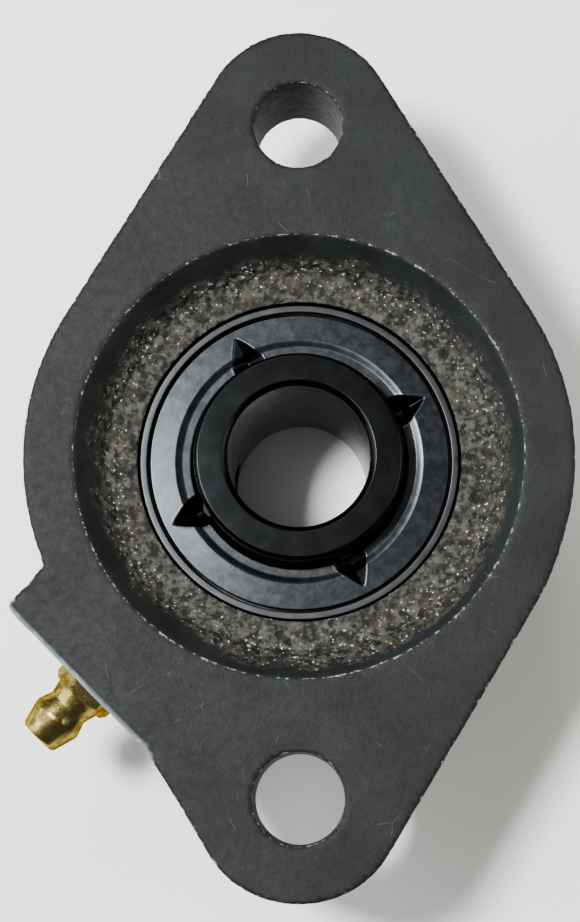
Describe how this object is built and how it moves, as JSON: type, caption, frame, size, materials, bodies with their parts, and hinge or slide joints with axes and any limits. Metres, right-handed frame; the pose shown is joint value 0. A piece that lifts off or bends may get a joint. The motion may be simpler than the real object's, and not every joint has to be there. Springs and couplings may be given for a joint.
{
  "type": "flange mount bearing",
  "caption": "Rhombic flange housing with a self-aligning set-screw ball bearing insert, slingers, rubber seals and a grease nipple.",
  "frame": {"origin": "where the bearing axis meets the flange's mounting face, midway between the two bolt holes", "axes": "+Z out of the mounting face along the bearing axis, +Y along the line of the bolt holes; the part lies below its mounting face and stands on the long end of the inner ring"},
  "size_m": [0.0736, 0.1164, 0.0333],
  "materials": {
    "housing_iron": "satin",
    "nipple_brass": "satin",
    "ball_steel": "polished",
    "spring_steel": "satin",
    "ring_black": "satin",
    "cage_steel": "satin",
    "seal_rubber": "matte",
    "core_steel": "satin",
    "slinger_black": "satin",
    "screw_black": "satin"
  },
  "bodies": {
    "housing": {"flange_housing": "housing_iron", "grease_nipple_body": "nipple_brass", "nipple_spring": "spring_steel"},
    "check_ball": {"nipple_check_ball": "ball_steel"},
    "outer_race": {"outer_ring": "ring_black", "seal_rear": "seal_rubber", "seal_front": "seal_rubber", "seal_core_rear": "core_steel", "seal_core_front": "core_steel"},
    "inner_race": {"inner_ring": "ring_black", "slinger_rear": "slinger_black", "slinger_front": "slinger_black"},
    "cage": {"cage_half_rear": "cage_steel", "cage_half_front": "cage_steel", "cage_rivets": "cage_steel"},
    "ball_1": {"ball_1": "ball_steel"},
    "ball_2": {"ball_2": "ball_steel"},
    "ball_3": {"ball_3": "ball_steel"},
    "ball_4": {"ball_4": "ball_steel"},
    "ball_5": {"ball_5": "ball_steel"},
    "ball_6": {"ball_6": "ball_steel"},
    "ball_7": {"ball_7": "ball_steel"},
    "ball_8": {"ball_8": "ball_steel"},
    "screw_tip_1": {"set_screw_ball_1": "ball_steel"},
    "screw_1": {"set_screw_1": "screw_black"},
    "screw_tip_2": {"set_screw_ball_2": "ball_steel"},
    "screw_2": {"set_screw_2": "screw_black"}
  },
  "joints": [
    {"name": "self_align", "type": "hinge", "parent": "housing", "child": "outer_race", "pos_m": [0, 0, -0.015], "axis": [1, 0, 0], "range_deg": [-2, 2]},
    {"name": "inner_spin", "type": "hinge", "parent": "outer_race", "child": "inner_race", "pos_m": [0, 0, -0.015], "axis": [0, 0, 1], "continuous": true},
    {"name": "cage_orbit", "type": "hinge", "parent": "outer_race", "child": "cage", "pos_m": [0, 0, -0.015], "axis": [0, 0, 1], "continuous": true},
    {"name": "check_ball_press", "type": "slide", "parent": "housing", "child": "check_ball", "axis": [0.7071, 0.7071, 0], "range_m": [0, 0.0008], "stiffness_N_per_m": 600, "springref_m": -0.002, "deforming": ["nipple_spring"]},
    {"name": "ball_1_roll", "type": "hinge", "parent": "cage", "child": "ball_1", "pos_m": [0.01675, 0, -0.015], "axis": [0, 0, 1], "continuous": true},
    {"name": "ball_2_roll", "type": "hinge", "parent": "cage", "child": "ball_2", "pos_m": [0.01184, 0.01184, -0.015], "axis": [0, 0, 1], "continuous": true},
    {"name": "ball_3_roll", "type": "hinge", "parent": "cage", "child": "ball_3", "pos_m": [0, 0.01675, -0.015], "axis": [0, 0, 1], "continuous": true},
    {"name": "ball_4_roll", "type": "hinge", "parent": "cage", "child": "ball_4", "pos_m": [-0.01184, 0.01184, -0.015], "axis": [0, 0, 1], "continuous": true},
    {"name": "ball_5_roll", "type": "hinge", "parent": "cage", "child": "ball_5", "pos_m": [-0.01675, 0, -0.015], "axis": [0, 0, 1], "continuous": true},
    {"name": "ball_6_roll", "type": "hinge", "parent": "cage", "child": "ball_6", "pos_m": [-0.01184, -0.01184, -0.015], "axis": [0, 0, 1], "continuous": true},
    {"name": "ball_7_roll", "type": "hinge", "parent": "cage", "child": "ball_7", "pos_m": [0, -0.01675, -0.015], "axis": [0, 0, 1], "continuous": true},
    {"name": "ball_8_roll", "type": "hinge", "parent": "cage", "child": "ball_8", "pos_m": [0.01184, -0.01184, -0.015], "axis": [0, 0, 1], "continuous": true},
    {"name": "set_screw_1_travel", "type": "slide", "parent": "inner_race", "child": "screw_tip_1", "axis": [-1, 0, 0], "range_m": [0, 0.00227]},
    {"name": "set_screw_1_turn", "type": "hinge", "parent": "screw_tip_1", "child": "screw_1", "pos_m": [-0.012, 0, -0.0283], "axis": [-1, 0, 0], "range_deg": [0, 900]},
    {"name": "set_screw_2_travel", "type": "slide", "parent": "inner_race", "child": "screw_tip_2", "axis": [0.5, -0.866, 0], "range_m": [0, 0.00227]},
    {"name": "set_screw_2_turn", "type": "hinge", "parent": "screw_tip_2", "child": "screw_2", "pos_m": [0.006, -0.01039, -0.0283], "axis": [0.5, -0.866, 0], "range_deg": [0, 900]}
  ],
  "couplings": [
    {"joint": "cage_orbit", "follows": "inner_spin", "ratio": 0.38152},
    {"joint": "ball_1_roll", "follows": "inner_spin", "ratio": -1.9916},
    {"joint": "ball_2_roll", "follows": "inner_spin", "ratio": -1.9916},
    {"joint": "ball_3_roll", "follows": "inner_spin", "ratio": -1.9916},
    {"joint": "ball_4_roll", "follows": "inner_spin", "ratio": -1.9916},
    {"joint": "ball_5_roll", "follows": "inner_spin", "ratio": -1.9916},
    {"joint": "ball_6_roll", "follows": "inner_spin", "ratio": -1.9916},
    {"joint": "ball_7_roll", "follows": "inner_spin", "ratio": -1.9916},
    {"joint": "ball_8_roll", "follows": "inner_spin", "ratio": -1.9916},
    {"joint": "set_screw_1_turn", "follows": "set_screw_1_travel", "rad_per_m": 6926.3},
    {"joint": "set_screw_2_turn", "follows": "set_screw_2_travel", "rad_per_m": 6926.3}
  ]
}
